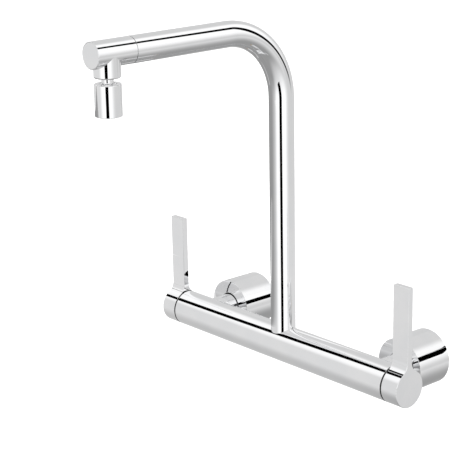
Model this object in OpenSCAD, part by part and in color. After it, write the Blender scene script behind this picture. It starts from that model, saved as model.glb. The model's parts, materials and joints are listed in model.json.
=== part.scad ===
// Wall-mounted two-handle kitchen mixer with a swivelling square-bend spout.
// Frame: +X to the user's right, +Y into the wall, +Z up. The origin is on the wall
// surface, midway between the two inlets, at the height of the body's axis.

/* [Body] */
// Distance between the two inlet axes
inlet_spacing = 203; // [198:1:210]
// Distance from the wall to the body's axis
wall_reach = 64.5; // [62:0.5:66]
// Outside diameter of the body and of the handle caps
body_d = 30; // [29.5:0.5:32]
// Length of the body between the two handle seams
body_length = 246.4; // [244:0.2:256]
// Wall thickness of the cast body along its cored waterways
body_wall = 3; // [2.5:0.1:3.5]
// Outside diameter of the inlet tails
tail_d = 21; // [20.5:0.1:21.4]

/* [Handles] */
// Width of the dark seam between the body and a handle cap
seam_gap = 1; // [0.5:0.1:1.5]
// Length of a handle cap along the body's axis
handle_length = 15.8; // [15:0.2:18]
// Height of a lever's tip above the body's axis
lever_height = 81.5; // [70:0.5:95]
// Thickness of the lever blade
lever_thick = 5; // [4:0.1:7]
// Radius of the concave blend between the cap and the blade
lever_fillet = 10; // [8:0.5:12]

/* [Spout] */
// Outside diameter of the spout tube
spout_d = 20.4; // [20.2:0.05:20.45]
// Wall thickness of the spout tube
spout_wall = 1.2; // [1:0.1:1.4]
// Height of the arm's axis above the body's axis
arm_height = 263.5; // [200:0.5:320]
// Centreline radius of the bend
bend_r = 57; // [45:1:70]
// Distance from the swivel axis to the spout's end face
spout_reach = 183.5; // [160:0.5:240]
// Length of the spout head from its seam to its end face
head_length = 34.5; // [33:0.5:40]
// Outside diameter of the spout head
head_d = 20.3; // [20:0.05:20.4]
// Distance from the spout's end face to the neck's axis
neck_inset = 14; // [13:0.5:15]

/* [Aerator] */
// Outside diameter of the aerator
aerator_d = 20.2; // [20:0.1:21]
// Height of the aerator
aerator_length = 23.7; // [23:0.1:28]
// Diameter of the ball that carries the aerator
ball_d = 13; // [12.8:0.1:13.2]
// Gap between the neck and the aerator's top
ball_gap = 4.2; // [3.8:0.1:5]

/* [Wall fittings] */
// Outside diameter of an escutcheon
escutcheon_d = 45; // [44:0.5:52]
// Depth of an escutcheon from the wall to its front face
escutcheon_depth = 34; // [32:0.5:35]
// Drop from the body's axis to the wall thread, set by turning the eccentric down
eccentric_drop = 6; // [0:0.5:6]
// Length of the wall thread past the wall surface
wall_thread_length = 15.5; // [12:0.5:20]

/* [Hidden] */
$fn = 96;

// Overlap that makes a cut run cleanly past a face
cut = 1;
// Radial running clearance of a turning fit
running = 0.05;
// Gap between two parts that are screwed or slid together and don't turn in use
seated = 0.03;

chrome = "silver";
brass = "goldenrod";
steel = "lightsteelblue";
rubber = "dimgray";
ceramic = "whitesmoke";
plastic = "gainsboro";

// Body
body_r = body_d / 2;
body_end = body_length / 2;
inlet_x = inlet_spacing / 2;
end_chamfer = 0.3;
centre_block = 32;
waterway_r = 4.5;
core_r = body_r - body_wall;
// Distances from the body's end face inwards along the axis
seat_depth = 33.4;
seat_web = 4;
relief_length = 14;
relief_r = 12.3;
cartridge_bore_r = 11;
seat_x = body_end - seat_depth;

// Inlet tail: distances from the body's axis towards the wall
tail_r = tail_d / 2;
tail_bore_r = 6.5;
tail_end = 42;
clip_groove_start = 38.5;
clip_groove_width = 1.5;
clip_groove_depth = 1;

// Spout bore in the body
spout_r = spout_d / 2;
spout_bore_r = spout_r + running;
bore_floor = -9.2;
washer_thick = 0.5;
waist_half = 4.5;
waist_r = 7.5;
lock_z = -2;
lock_r = 3;
dog_r = 2.4;

// Spout foot, heights from the body's axis
foot_top = 9;
foot_spigot = 13;
foot_bore_r = 6;
foot_port_r = 3;
foot_bottom = bore_floor + washer_thick;
ring_groove_low = 5.7;
ring_groove_high = 7.7;
ring_groove_r = 8.6;
ring_section_r = 0.8;

// Cartridge: distances from the seat outwards along the body's axis
seal_thick = 2.2;
disc_thick = 3;
disc_lap = 0.02;
disc_r = 8.5;
disc_port_in = 2.2;
disc_port_out = 7;
disc_slot = 76;
chamber_r = 8.6;
chamber_end = 16.5;
housing_start = 0.4;
housing_r = cartridge_bore_r - seated;
window_start = 9;
window_length = 6.5;
window_width = 10;
housing_ring_start = 19.5;
housing_ring_width = 2.2;
housing_ring_r = 9.5;
flange_thick = 2.4;
flange_r = 12;
nose_r = 7;
nose_length = 4.2;
flange_x = body_end;
nose_end = flange_x + flange_thick + nose_length;

// Spindle
spindle_r = 4.45;
spindle_bore_r = spindle_r + running;
driver_thick = 3;
driver_width = 7;
spindle_ring_start = 27;
spindle_ring_width = 1.5;
spindle_ring_r = 3.3;
clip_thick = 0.8;
clip_slack = 0.1;
clip_inner_r = 3.6;
clip_outer_r = 6.4;
clip_opening = 6;
spline_teeth = 20;
spline_r = 4;
spline_depth = 0.35;
spline_start = nose_end + 2;
spline_length = 5;

// Handle
cap_start = body_end + seam_gap;
seam_ring_r = body_r - 0.7;
cap_end = cap_start + handle_length;
cap_hollow_r = 12.7;
cap_hollow_end = nose_end + 2.3;
blade_half = lever_thick / 2;
hub_r = spline_r + seated;
grub_r = 2;
grub_length = 8;
// Height at which the concave blend leaves the flat of the blade
fillet_z = sqrt(pow(body_r + lever_fillet, 2) - pow(blade_half + lever_fillet, 2));

// Spout head, distances from the swivel axis
tube_bore_r = spout_r - spout_wall;
head_seam = spout_reach - head_length;
head_r = head_d / 2;
spigot_r = tube_bore_r - seated;
spigot_length = 11;
head_bore_r = 7.5;
cap_thick = 1.6;
cap_rim = 0.6;
cap_plug = 4;
neck_axis = spout_reach - neck_inset;
neck_r = head_r - 0.1;
neck_drop = 17.5;
neck_bore_r = 5;
neck_edge = 0.8;
neck_base = arm_height - neck_drop;
head_ring_start = 5;
head_ring_width = 2;
head_ring_r = 7.9;
head_screw_inset = 2.6;
head_screw_r = 1.5;

// Ball and aerator
ball_r = ball_d / 2;
aerator_top = neck_base - ball_gap;
aerator_bottom = aerator_top - aerator_length;
aerator_r = aerator_d / 2;
ball_z = aerator_top - 4.2;
stem_r = 4.5;
stud_r = neck_bore_r - running;
stud_bore_r = 2.75;
stud_length = 8.5;
stud_ring_r = 4.1;
stud_ring_width = 1.6;
lip_z = ball_z + 2.4;
lip_flare_r = 7.1;
seat_top = ball_z - 4.8;
seat_thick = 4;
seat_bore_r = 3.2;
cavity_r = 8.6;
grid_thick = 1.4;
grid_inset = 0.6;
grid_cell = 2.6;
mesh_thick = 0.4;
insert_top = seat_top - seat_thick;
insert_bottom = aerator_bottom + grid_inset + grid_thick + mesh_thick;
outlet_edge = 0.9;

// Escutcheon, union and eccentric: distances from the body's axis towards the wall
escutcheon_r = escutcheon_d / 2;
escutcheon_wall = 1.3;
escutcheon_front = wall_reach - escutcheon_depth;
escutcheon_hole_r = tail_r + 0.8;
grip_section_r = 1.15;
nut_start = 35.9;
nut_length = 15;
nut_flats = 30;
nut_lip = 2.5;
nut_bore_r = 13.1;
washer_face = 2.5;
washer_hole_r = 7;
large_thread_r = 13;
large_thread_length = 12;
large_bore_r = 7.5;
eccentric_start = tail_end + washer_face;
hex_flats = 24;
hex_length = 6;
hex_end = wall_reach - 2;
small_thread_r = 10.48;
small_bore_r = 6.5;
pipe_end = wall_reach + wall_thread_length;

// ---------------------------------------------------------------- placing

// Children are drawn from the body's axis; this puts that axis in front of the wall
module at_body() {
    translate([0, -wall_reach, 0]) children();
}

// Children are drawn for the right-hand side, side = 1; side = -1 mirrors them
module on_side(side) {
    at_body() mirror([side < 0 ? 1 : 0, 0, 0]) children();
}

// Turns children drawn along +Z so that they run along +X from the place x
module along_x(x) {
    translate([x, 0, 0]) rotate([0, 90, 0]) children();
}

// Turns children drawn along +Z so that they run towards the wall from the place y
module along_y(y) {
    translate([0, y, 0]) rotate([-90, 0, 0]) children();
}

// Turns children drawn along +Z so that they run towards the user from the distance y
module along_arm(y) {
    translate([0, -y, arm_height]) rotate([90, 0, 0]) children();
}

// ---------------------------------------------------------------- shapes

module ring(outer, inner, height) {
    difference() {
        cylinder(r = outer, h = height);
        translate([0, 0, -cut]) cylinder(r = inner, h = height + 2 * cut);
    }
}

module groove(outer, inner, height) {
    difference() {
        cylinder(r = outer + cut, h = height);
        translate([0, 0, -cut]) cylinder(r = inner, h = height + 2 * cut);
    }
}

module oring(middle, section) {
    rotate_extrude() translate([middle, 0]) circle(r = section, $fn = 48);
}

module hexagon(flats, height) {
    cylinder(r = flats / 2 / cos(30), h = height, $fn = 6);
}

// Cylinder with a plain chamfer of size c on its two edges
module chamfered(r, height, c) {
    rotate_extrude() polygon([
        [0, 0], [r - c, 0], [r, c], [r, height - c], [r - c, height], [0, height]
    ]);
}

// Open retaining ring
module snap_ring(outer, inner, height, opening) {
    difference() {
        ring(outer, inner, height);
        translate([0, -opening / 2, -cut]) cube([outer + cut, opening, height + 2 * cut]);
    }
}

// Headless screw with a hexagon socket in its far end
module grub(r, length, socket) {
    difference() {
        chamfered(r - seated, length, 0.2);
        translate([0, 0, length - socket]) hexagon(r, socket + cut);
    }
}

// Two opposite ports of a ceramic disc, centred on the angle middle
module disc_ports(middle) {
    for (turn = [0, 180]) {
        rotate([0, 0, middle + turn - disc_slot / 2])
            translate([0, 0, -cut])
                rotate_extrude(angle = disc_slot)
                    translate([disc_port_in, 0])
                        square([disc_port_out - disc_port_in, disc_thick + 2 * cut]);
    }
}

module ceramic_disc(r, middle) {
    difference() {
        cylinder(r = r, h = disc_thick);
        disc_ports(middle);
    }
}

// ---------------------------------------------------------------- body

module body_blank() {
    along_x(-body_end) chamfered(body_r, body_length, end_chamfer);
    for (side = [-1, 1]) {
        translate([side * inlet_x, 0, 0]) along_y(0) cylinder(r = tail_r, h = tail_end);
    }
}

// Cartridge bore, its annular chamber, the valve seat and the cored waterway
module body_side_bores() {
    along_x(seat_x) cylinder(r = cartridge_bore_r, h = seat_depth + cut);
    along_x(inlet_x - relief_length / 2) cylinder(r = relief_r, h = relief_length);
    along_x(seat_x - seat_web - cut) cylinder(r = waterway_r, h = seat_web + 2 * cut);
    along_x(centre_block / 2) cylinder(r = core_r, h = seat_x - seat_web - centre_block / 2);
    along_x(0) cylinder(r = waterway_r, h = centre_block / 2 + cut);
    translate([inlet_x, 0, 0]) {
        along_y(0) cylinder(r = tail_bore_r, h = tail_end + cut);
        along_y(clip_groove_start) groove(tail_r, tail_r - clip_groove_depth, clip_groove_width);
    }
}

module body() {
    color(chrome) at_body() difference() {
        body_blank();
        body_side_bores();
        mirror([1, 0, 0]) body_side_bores();
        translate([0, 0, bore_floor]) cylinder(r = spout_bore_r, h = body_d);
        translate([0, 0, lock_z]) along_y(0) cylinder(r = lock_r, h = body_d);
    }
}

// Dog-point screw that runs in the waist of the spout foot and keeps the spout down
module spout_lock_screw() {
    dog_end = waist_r + 0.2;
    thread_start = spout_bore_r + 0.2;
    color(steel) at_body() translate([0, 0, lock_z]) {
        along_y(dog_end) cylinder(r = dog_r, h = thread_start - dog_end + 0.5);
        along_y(thread_start) grub(lock_r, 4, 2.2);
    }
}

module thrust_washer() {
    color(plastic) at_body() translate([0, 0, bore_floor]) ring(spout_bore_r - 0.4, foot_bore_r, washer_thick);
}

// ---------------------------------------------------------------- cartridges

module cartridge_blank() {
    along_x(seat_x + housing_start) cylinder(r = housing_r, h = seat_depth - housing_start);
    along_x(flange_x) chamfered(flange_r, flange_thick, end_chamfer);
    along_x(flange_x) cylinder(r = nose_r, h = flange_thick + nose_length);
}

module cartridge_housing(side) {
    color(brass) on_side(side) difference() {
        cartridge_blank();
        along_x(seat_x - cut) cylinder(r = chamber_r, h = chamber_end + cut);
        along_x(seat_x) cylinder(r = spindle_bore_r, h = body_d * 2);
        along_x(seat_x + housing_ring_start) groove(housing_r, housing_ring_r, housing_ring_width);
        translate([seat_x + window_start, -window_width / 2, -body_r])
            cube([window_length, window_width, body_d]);
        translate([seat_x + window_start, -body_r, -window_width / 2])
            cube([window_length, body_d, window_width]);
    }
}

module seam_ring(side) {
    color(rubber) on_side(side) difference() {
        along_x(body_end) cylinder(r = seam_ring_r, h = seam_gap - running);
        along_x(body_end - cut) cylinder(r = flange_r + seated, h = seam_gap + 2 * cut);
    }
}

module cartridge_oring(side) {
    section = (cartridge_bore_r - housing_ring_r) / 2;
    color(rubber) on_side(side) along_x(seat_x + housing_ring_start + housing_ring_width / 2)
        oring(housing_ring_r + section, section - seated);
}

module seat_seal(side) {
    color(rubber) on_side(side) along_x(seat_x) ring(disc_r, disc_port_out + 0.2, seal_thick);
}

module fixed_disc(side) {
    color(ceramic) on_side(side) along_x(seat_x + seal_thick) ceramic_disc(disc_r, 0);
}

module moving_disc(side) {
    start = seat_x + seal_thick + disc_thick + disc_lap;
    color(ceramic) on_side(side) along_x(start) ceramic_disc(disc_r - 0.1, 90);
}

// Outline of the splined end, one tooth for each step
module spline_outline() {
    step = 180 / spline_teeth;
    polygon([
        for (i = [0 : 2 * spline_teeth - 1])
            let (r = i % 2 == 0 ? spline_r : spline_r - spline_depth)
                [r * cos(i * step), r * sin(i * step)]
    ]);
}

module spindle(side) {
    driver_start = seat_x + seal_thick + 2 * disc_thick + disc_lap;
    shaft_start = driver_start + driver_thick;
    color(brass) on_side(side) difference() {
        union() {
            intersection() {
                along_x(driver_start) cylinder(r = disc_r - 0.1, h = driver_thick);
                translate([driver_start, -driver_width / 2, -body_r])
                    cube([driver_thick, driver_width, body_d]);
            }
            along_x(driver_start) cylinder(r = spindle_r, h = spline_start - driver_start);
            along_x(spline_start) linear_extrude(height = spline_length) spline_outline();
        }
        along_x(seat_x + spindle_ring_start) groove(spindle_r, spindle_ring_r, spindle_ring_width);
        along_x(nose_end + clip_slack) groove(spindle_r, clip_inner_r, clip_thick + clip_slack);
    }
}

module spindle_oring(side) {
    section = (spindle_bore_r - spindle_ring_r) / 2;
    color(rubber) on_side(side) along_x(seat_x + spindle_ring_start + spindle_ring_width / 2)
        oring(spindle_ring_r + section, section - seated);
}

module spindle_clip(side) {
    color(steel) on_side(side) along_x(nose_end + clip_slack * 1.5)
        snap_ring(clip_outer_r, clip_inner_r + seated, clip_thick, clip_opening);
}

// ---------------------------------------------------------------- handles

// Outline across the body's axis: the round cap, the flat blade and two concave blends.
// It is drawn with the blade along -X because along_x turns -X up to +Z.
module handle_outline() {
    reach = blade_half + lever_fillet;
    circle(r = body_r);
    translate([-lever_height, -blade_half]) square([lever_height, lever_thick]);
    difference() {
        polygon([[0, 0], [-fillet_z, reach], [-fillet_z, -reach]]);
        for (face = [-1, 1]) {
            translate([-fillet_z, face * reach]) circle(r = lever_fillet);
        }
    }
}

module handle(side) {
    screw_x = spline_start + spline_length / 2;
    color(chrome) on_side(side) difference() {
        along_x(cap_start) linear_extrude(height = handle_length) handle_outline();
        along_x(cap_start - cut) cylinder(r = cap_hollow_r, h = cap_hollow_end - cap_start + cut);
        along_x(cap_start) cylinder(r = hub_r, h = spline_start + spline_length + 0.3 - cap_start);
        translate([screw_x, 0, -body_d]) cylinder(r = grub_r, h = body_d);
    }
}

module handle_screw(side) {
    screw_x = spline_start + spline_length / 2;
    color(steel) on_side(side) translate([screw_x, 0, -hub_r]) rotate([180, 0, 0])
        grub(grub_r, grub_length, 2);
}

// ---------------------------------------------------------------- spout

module tube_section() {
    difference() {
        circle(r = spout_r);
        circle(r = tube_bore_r);
    }
}

module spout_tube() {
    color(chrome) at_body() difference() {
        union() {
            translate([0, 0, foot_top])
                linear_extrude(height = arm_height - bend_r - foot_top) tube_section();
            translate([0, -bend_r, arm_height - bend_r]) rotate([90, 0, 90])
                rotate_extrude(angle = 90) translate([bend_r, 0]) tube_section();
            along_arm(bend_r) linear_extrude(height = head_seam - bend_r) tube_section();
        }
        translate([0, -(head_seam - head_screw_inset), arm_height - spout_d])
            cylinder(r = head_screw_r, h = spout_d);
    }
}

module foot_blank() {
    translate([0, 0, foot_bottom]) cylinder(r = spout_r, h = foot_top - foot_bottom);
    translate([0, 0, foot_top]) cylinder(r = tube_bore_r - seated, h = foot_spigot);
}

module spout_foot() {
    color(brass) at_body() difference() {
        foot_blank();
        translate([0, 0, lock_z]) cylinder(r = foot_bore_r, h = foot_top + foot_spigot + body_r);
        translate([0, 0, -waist_half]) groove(spout_r, waist_r, 2 * waist_half);
        translate([0, 0, ring_groove_low])
            groove(spout_r, ring_groove_r, ring_groove_high - ring_groove_low);
        translate([0, 0, -ring_groove_high])
            groove(spout_r, ring_groove_r, ring_groove_high - ring_groove_low);
        for (turn = [45, 135]) {
            rotate([0, 0, turn]) along_x(-body_r) cylinder(r = foot_port_r, h = body_d);
        }
    }
}

module spout_orings() {
    middle = (ring_groove_low + ring_groove_high) / 2;
    color(rubber) at_body() for (height = [-middle, middle]) {
        translate([0, 0, height]) oring((ring_groove_r + spout_bore_r) / 2, ring_section_r);
    }
}

module head_blank() {
    along_arm(head_seam) cylinder(r = head_r, h = head_length);
    along_arm(head_seam - spigot_length) cylinder(r = spigot_r, h = spigot_length + cut);
    translate([0, -neck_axis, neck_base]) rotate_extrude() polygon([
        [0, 0], [neck_r - neck_edge, 0], [neck_r, neck_edge], [neck_r, neck_drop], [0, neck_drop]
    ]);
}

module spout_head() {
    color(chrome) at_body() difference() {
        head_blank();
        along_arm(head_seam - spigot_length - cut)
            cylinder(r = head_bore_r, h = spout_reach - head_seam + spigot_length + 2 * cut);
        along_arm(spout_reach - cap_thick) cylinder(r = head_r - cap_rim, h = cap_thick + cut);
        along_arm(head_seam - head_ring_start - head_ring_width)
            groove(spigot_r, head_ring_r, head_ring_width);
        translate([0, -neck_axis, neck_base - cut]) cylinder(r = neck_bore_r, h = neck_drop + cut);
        translate([0, -(head_seam - head_screw_inset), arm_height - spout_d])
            cylinder(r = head_screw_r, h = spout_d);
    }
}

// Flush disc that closes the head's end, with a plug that fits its bore
module head_cap() {
    color(chrome) at_body() {
        along_arm(spout_reach - cap_thick) cylinder(r = head_r - cap_rim - seated, h = cap_thick);
        along_arm(spout_reach - cap_plug) cylinder(r = head_bore_r - seated, h = cap_plug);
    }
}

module head_oring() {
    section = (tube_bore_r - head_ring_r) / 2;
    color(rubber) at_body() along_arm(head_seam - head_ring_start - head_ring_width / 2)
        oring(head_ring_r + section, section - seated);
}

// Small screw under the arm that locks the head's spigot in the tube
module head_screw() {
    length = spout_r - head_bore_r;
    color(steel) at_body()
        translate([0, -(head_seam - head_screw_inset), arm_height - head_bore_r]) rotate([180, 0, 0])
            grub(head_screw_r, length - 0.3, 1.2);
}

// ---------------------------------------------------------------- ball and aerator

module at_neck() {
    at_body() translate([0, -neck_axis, 0]) children();
}

module ball_stud() {
    groove_z = neck_base + stud_length - 2.6;
    color(chrome) at_neck() difference() {
        union() {
            translate([0, 0, ball_z]) sphere(r = ball_r);
            translate([0, 0, ball_z]) cylinder(r = stem_r, h = neck_base - ball_z + cut);
            translate([0, 0, neck_base]) cylinder(r = stud_r, h = stud_length);
        }
        translate([0, 0, ball_z - ball_d]) cylinder(r = stud_bore_r, h = 3 * ball_d);
        translate([0, 0, groove_z]) groove(stud_r, stud_ring_r, stud_ring_width);
    }
}

module stud_oring() {
    section = (neck_bore_r - stud_ring_r) / 2;
    color(rubber) at_neck()
        translate([0, 0, neck_base + stud_length - 2.6 + stud_ring_width / 2])
            oring(stud_ring_r + section, section - seated);
}

module aerator_blank() {
    translate([0, 0, aerator_bottom]) rotate_extrude() polygon([
        [0, 0], [aerator_r - outlet_edge, 0], [aerator_r, outlet_edge],
        [aerator_r, aerator_length - end_chamfer], [aerator_r - end_chamfer, aerator_length],
        [0, aerator_length]
    ]);
}

module aerator_housing() {
    lip_r = sqrt(pow(ball_r + running, 2) - pow(lip_z - ball_z, 2));
    color(chrome) at_neck() difference() {
        aerator_blank();
        translate([0, 0, aerator_bottom - cut])
            cylinder(r = cavity_r, h = seat_top - aerator_bottom + cut);
        translate([0, 0, seat_top - cut]) cylinder(r = ball_r + running, h = ball_z - seat_top + cut);
        translate([0, 0, ball_z]) sphere(r = ball_r + running);
        translate([0, 0, lip_z])
            cylinder(r1 = lip_r, r2 = lip_flare_r, h = aerator_top - lip_z);
        translate([0, 0, aerator_top - 0.01]) cylinder(r = lip_flare_r, h = cut);
    }
}

module ball_seat() {
    color(rubber) at_neck() difference() {
        translate([0, 0, seat_top - seat_thick]) cylinder(r = cavity_r - seated, h = seat_thick);
        translate([0, 0, ball_z]) sphere(r = ball_r + running);
        translate([0, 0, ball_z - body_d]) cylinder(r = seat_bore_r, h = body_d);
    }
}

// Air-mixing core: a cup with a ring of jet holes in its floor
module aerator_insert() {
    jets = 8;
    floor_thick = 2;
    height = insert_top - insert_bottom;
    color(plastic) at_neck() translate([0, 0, insert_bottom]) difference() {
        cylinder(r = cavity_r - seated, h = height);
        translate([0, 0, -cut]) cylinder(r = cavity_r - 1.4, h = height - floor_thick - 2.5 + cut);
        translate([0, 0, height - 2.5]) cylinder(r = cavity_r - 1.4, h = 2.5 + cut);
        for (i = [0 : jets - 1]) {
            rotate([0, 0, i * 360 / jets]) translate([cavity_r * 0.55, 0, 0])
                cylinder(r = 0.9, h = height, $fn = 24);
        }
    }
}

module aerator_mesh() {
    color(steel) at_neck() translate([0, 0, insert_bottom - mesh_thick])
        cylinder(r = cavity_r - seated, h = mesh_thick);
}

// Outlet grid: parallel bars both ways inside a thin rim
module outlet_grid() {
    bar = 0.7;
    reach = 3;
    rim_r = cavity_r - seated;
    color(plastic) at_neck() translate([0, 0, aerator_bottom + grid_inset]) {
        ring(rim_r, rim_r - 1.1, grid_thick);
        intersection() {
            cylinder(r = rim_r - 0.5, h = grid_thick);
            union() {
                for (i = [-reach : reach]) {
                    translate([i * grid_cell - bar / 2, -rim_r, 0]) cube([bar, 2 * rim_r, grid_thick]);
                    translate([-rim_r, i * grid_cell - bar / 2, 0]) cube([2 * rim_r, bar, grid_thick]);
                }
            }
        }
    }
}

// ---------------------------------------------------------------- wall fittings

module at_inlet(side) {
    on_side(side) translate([inlet_x, 0, 0]) children();
}

module escutcheon(side) {
    color(chrome) at_inlet(side) difference() {
        along_y(escutcheon_front) chamfered(escutcheon_r, escutcheon_depth, end_chamfer);
        along_y(escutcheon_front + escutcheon_wall)
            cylinder(r = escutcheon_r - escutcheon_wall, h = escutcheon_depth);
        along_y(escutcheon_front - cut) cylinder(r = escutcheon_hole_r, h = escutcheon_depth);
    }
}

// Rubber ring that grips the tail and centres the escutcheon on it
module escutcheon_ring(side) {
    color(rubber) at_inlet(side) along_y(escutcheon_front + escutcheon_wall + grip_section_r)
        oring(tail_r + grip_section_r, grip_section_r - seated / 2);
}

module union_nut(side) {
    color(chrome) at_inlet(side) difference() {
        along_y(nut_start) hexagon(nut_flats, nut_length);
        along_y(nut_start - cut) cylinder(r = tail_r + 0.1, h = nut_length);
        along_y(nut_start + nut_lip) cylinder(r = nut_bore_r, h = nut_length);
    }
}

module nut_clip(side) {
    color(steel) at_inlet(side) along_y(clip_groove_start + 0.05)
        snap_ring(tail_r + 1.6, tail_r - clip_groove_depth + seated, clip_groove_width - 0.1, 8);
}

module union_washer(side) {
    color(rubber) at_inlet(side) along_y(tail_end) ring(nut_bore_r - 0.3, washer_hole_r, washer_face);
}

module eccentric(side) {
    hex_start = hex_end - hex_length;
    color(brass) at_inlet(side) difference() {
        union() {
            along_y(eccentric_start) cylinder(r = large_thread_r, h = large_thread_length);
            translate([0, 0, -eccentric_drop]) {
                along_y(hex_start - 2) hexagon(hex_flats, hex_length + 2);
                along_y(hex_start) cylinder(r = small_thread_r, h = pipe_end - hex_start);
            }
        }
        along_y(eccentric_start - cut)
            cylinder(r = large_bore_r, h = large_thread_length - 1);
        translate([0, 0, -eccentric_drop]) along_y(eccentric_start + large_thread_length - 4)
            cylinder(r = small_bore_r, h = pipe_end);
    }
}

// ---------------------------------------------------------------- nodes

body();
spout_lock_screw();
thrust_washer();
cartridge_housing(-1);  // cartridge_housing_left
cartridge_housing(1);  // cartridge_housing_right
seam_ring(-1);  // seam_ring_left
seam_ring(1);  // seam_ring_right
cartridge_oring(-1);  // cartridge_oring_left
cartridge_oring(1);  // cartridge_oring_right
seat_seal(-1);  // seat_seal_left
seat_seal(1);  // seat_seal_right
fixed_disc(-1);  // fixed_disc_left
fixed_disc(1);  // fixed_disc_right
escutcheon(-1);  // escutcheon_left
escutcheon(1);  // escutcheon_right
escutcheon_ring(-1);  // escutcheon_ring_left
escutcheon_ring(1);  // escutcheon_ring_right
union_nut(-1);  // union_nut_left
union_nut(1);  // union_nut_right
nut_clip(-1);  // nut_clip_left
nut_clip(1);  // nut_clip_right
union_washer(-1);  // union_washer_left
union_washer(1);  // union_washer_right
eccentric(-1);  // eccentric_left
eccentric(1);  // eccentric_right
handle(-1);  // handle_left
handle(1);  // handle_right
handle_screw(-1);  // handle_screw_left
handle_screw(1);  // handle_screw_right
spindle(-1);  // spindle_left
spindle(1);  // spindle_right
spindle_oring(-1);  // spindle_oring_left
spindle_oring(1);  // spindle_oring_right
spindle_clip(-1);  // spindle_clip_left
spindle_clip(1);  // spindle_clip_right
moving_disc(-1);  // moving_disc_left
moving_disc(1);  // moving_disc_right
spout_tube();
spout_foot();
spout_orings();
spout_head();
head_cap();
head_oring();
head_screw();
ball_stud();
stud_oring();
aerator_housing();
ball_seat();
aerator_insert();
aerator_mesh();
outlet_grid();
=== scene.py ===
import json
import math

import bpy
import numpy as np
from mathutils import Matrix, Vector
from mathutils.bvhtree import BVHTree
from mathutils.interpolate import poly_3d_calc


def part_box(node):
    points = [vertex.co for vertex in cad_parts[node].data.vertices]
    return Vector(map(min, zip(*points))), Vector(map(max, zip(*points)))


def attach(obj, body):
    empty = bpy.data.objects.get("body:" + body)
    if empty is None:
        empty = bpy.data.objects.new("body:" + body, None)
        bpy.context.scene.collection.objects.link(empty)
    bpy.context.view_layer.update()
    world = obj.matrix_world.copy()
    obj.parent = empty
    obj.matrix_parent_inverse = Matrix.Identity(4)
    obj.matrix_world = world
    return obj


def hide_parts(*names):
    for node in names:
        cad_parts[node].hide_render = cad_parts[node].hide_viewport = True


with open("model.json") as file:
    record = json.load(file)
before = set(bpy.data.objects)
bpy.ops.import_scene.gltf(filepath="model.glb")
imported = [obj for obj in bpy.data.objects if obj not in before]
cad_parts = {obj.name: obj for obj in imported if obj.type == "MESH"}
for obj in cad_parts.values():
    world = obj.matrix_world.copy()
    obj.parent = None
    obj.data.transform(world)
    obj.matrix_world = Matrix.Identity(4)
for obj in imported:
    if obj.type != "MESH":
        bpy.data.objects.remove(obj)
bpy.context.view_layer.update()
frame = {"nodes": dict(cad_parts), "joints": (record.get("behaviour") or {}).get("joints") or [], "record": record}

# ---------------------------------------------------------------- places and sizes, in metres

X, Y, Z = Vector((1, 0, 0)), Vector((0, 1, 0)), Vector((0, 0, 1))
SIDES = {"left": -1, "right": 1}
JOINTS = {joint["name"]: Vector(joint["pos_m"]) for joint in frame["joints"]}
MOUNTS = {mount["name"]: mount for mount in frame["record"]["mounts"]}
AXIS = JOINTS["spout_swivel"]
NECK = JOINTS["aerator_spin"]
BALL = JOINTS["aerator_tilt"]


def top(node):
    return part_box(node)[1]


def bottom(node):
    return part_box(node)[0]


# Body
BODY_R = top("body").z
BODY_END = top("body").x
INLET_X = MOUNTS["wall_thread_right"]["pos_m"][0]
TAIL_R = 0.0105
TAIL_BORE_R = 0.0065
TAIL_END = top("body").y
BORE_R = 0.011
BORE_DEPTH = 0.0334
CLIP_GROOVE = (-0.026, -0.0245)

# Handles and the seams beside them, which are a little wider than in the CAD
CAP_START = bottom("handle_right").x
SEAM_START = BODY_END - 0.00025
SEAM_END = CAP_START + 0.00025
SEAM_RING_BORE_R = 0.01203
CAP_END = top("handle_right").x
LEVER_TOP = top("handle_right").z
BLADE_HALF = 0.0025
BLEND_R = 0.010
CAP_HOLLOW_R = 0.0127
CAP_HOLLOW_DEPTH = 0.0079
GRUB_X = 0.5 * (bottom("handle_screw_right").x + top("handle_screw_right").x)
GRUB_R = 0.002

# Spout
TUBE_R = top("spout_tube").x
TUBE_BORE_R = TUBE_R - 0.0012
TUBE_START = bottom("spout_tube").z
ARM_Z = top("spout_tube").z - TUBE_R
BEND_R = 0.057
HEAD_SEAM = bottom("spout_tube").y
HEAD_END = bottom("spout_head").y
HEAD_R = top("spout_head").z - ARM_Z
HEAD_GAP = 0.0004
HEAD_BORE_R = 0.0075
HEAD_CAP_R = top("head_cap").x
HEAD_CAP_DEPTH = 0.0016
SPIGOT_R = TUBE_BORE_R - 0.00003
SPIGOT_END = top("spout_head").y
NECK_R = HEAD_R - 0.0001
SCREW = 0.5 * (bottom("head_screw") + top("head_screw"))

# Ball and aerator
BALL_R = top("ball_stud").x
STEM_R = 0.0045
STUD_R = 0.00495
STUD_BORE_R = 0.00275
STUD_TOP = top("ball_stud").z
AERATOR_R = top("aerator_housing").x
AERATOR_TOP = top("aerator_housing").z
AERATOR_LOW = bottom("aerator_housing").z
CAVITY_R = 0.0086
SEAT_TOP = top("ball_seat").z
LIP_R = 0.0071

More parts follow.
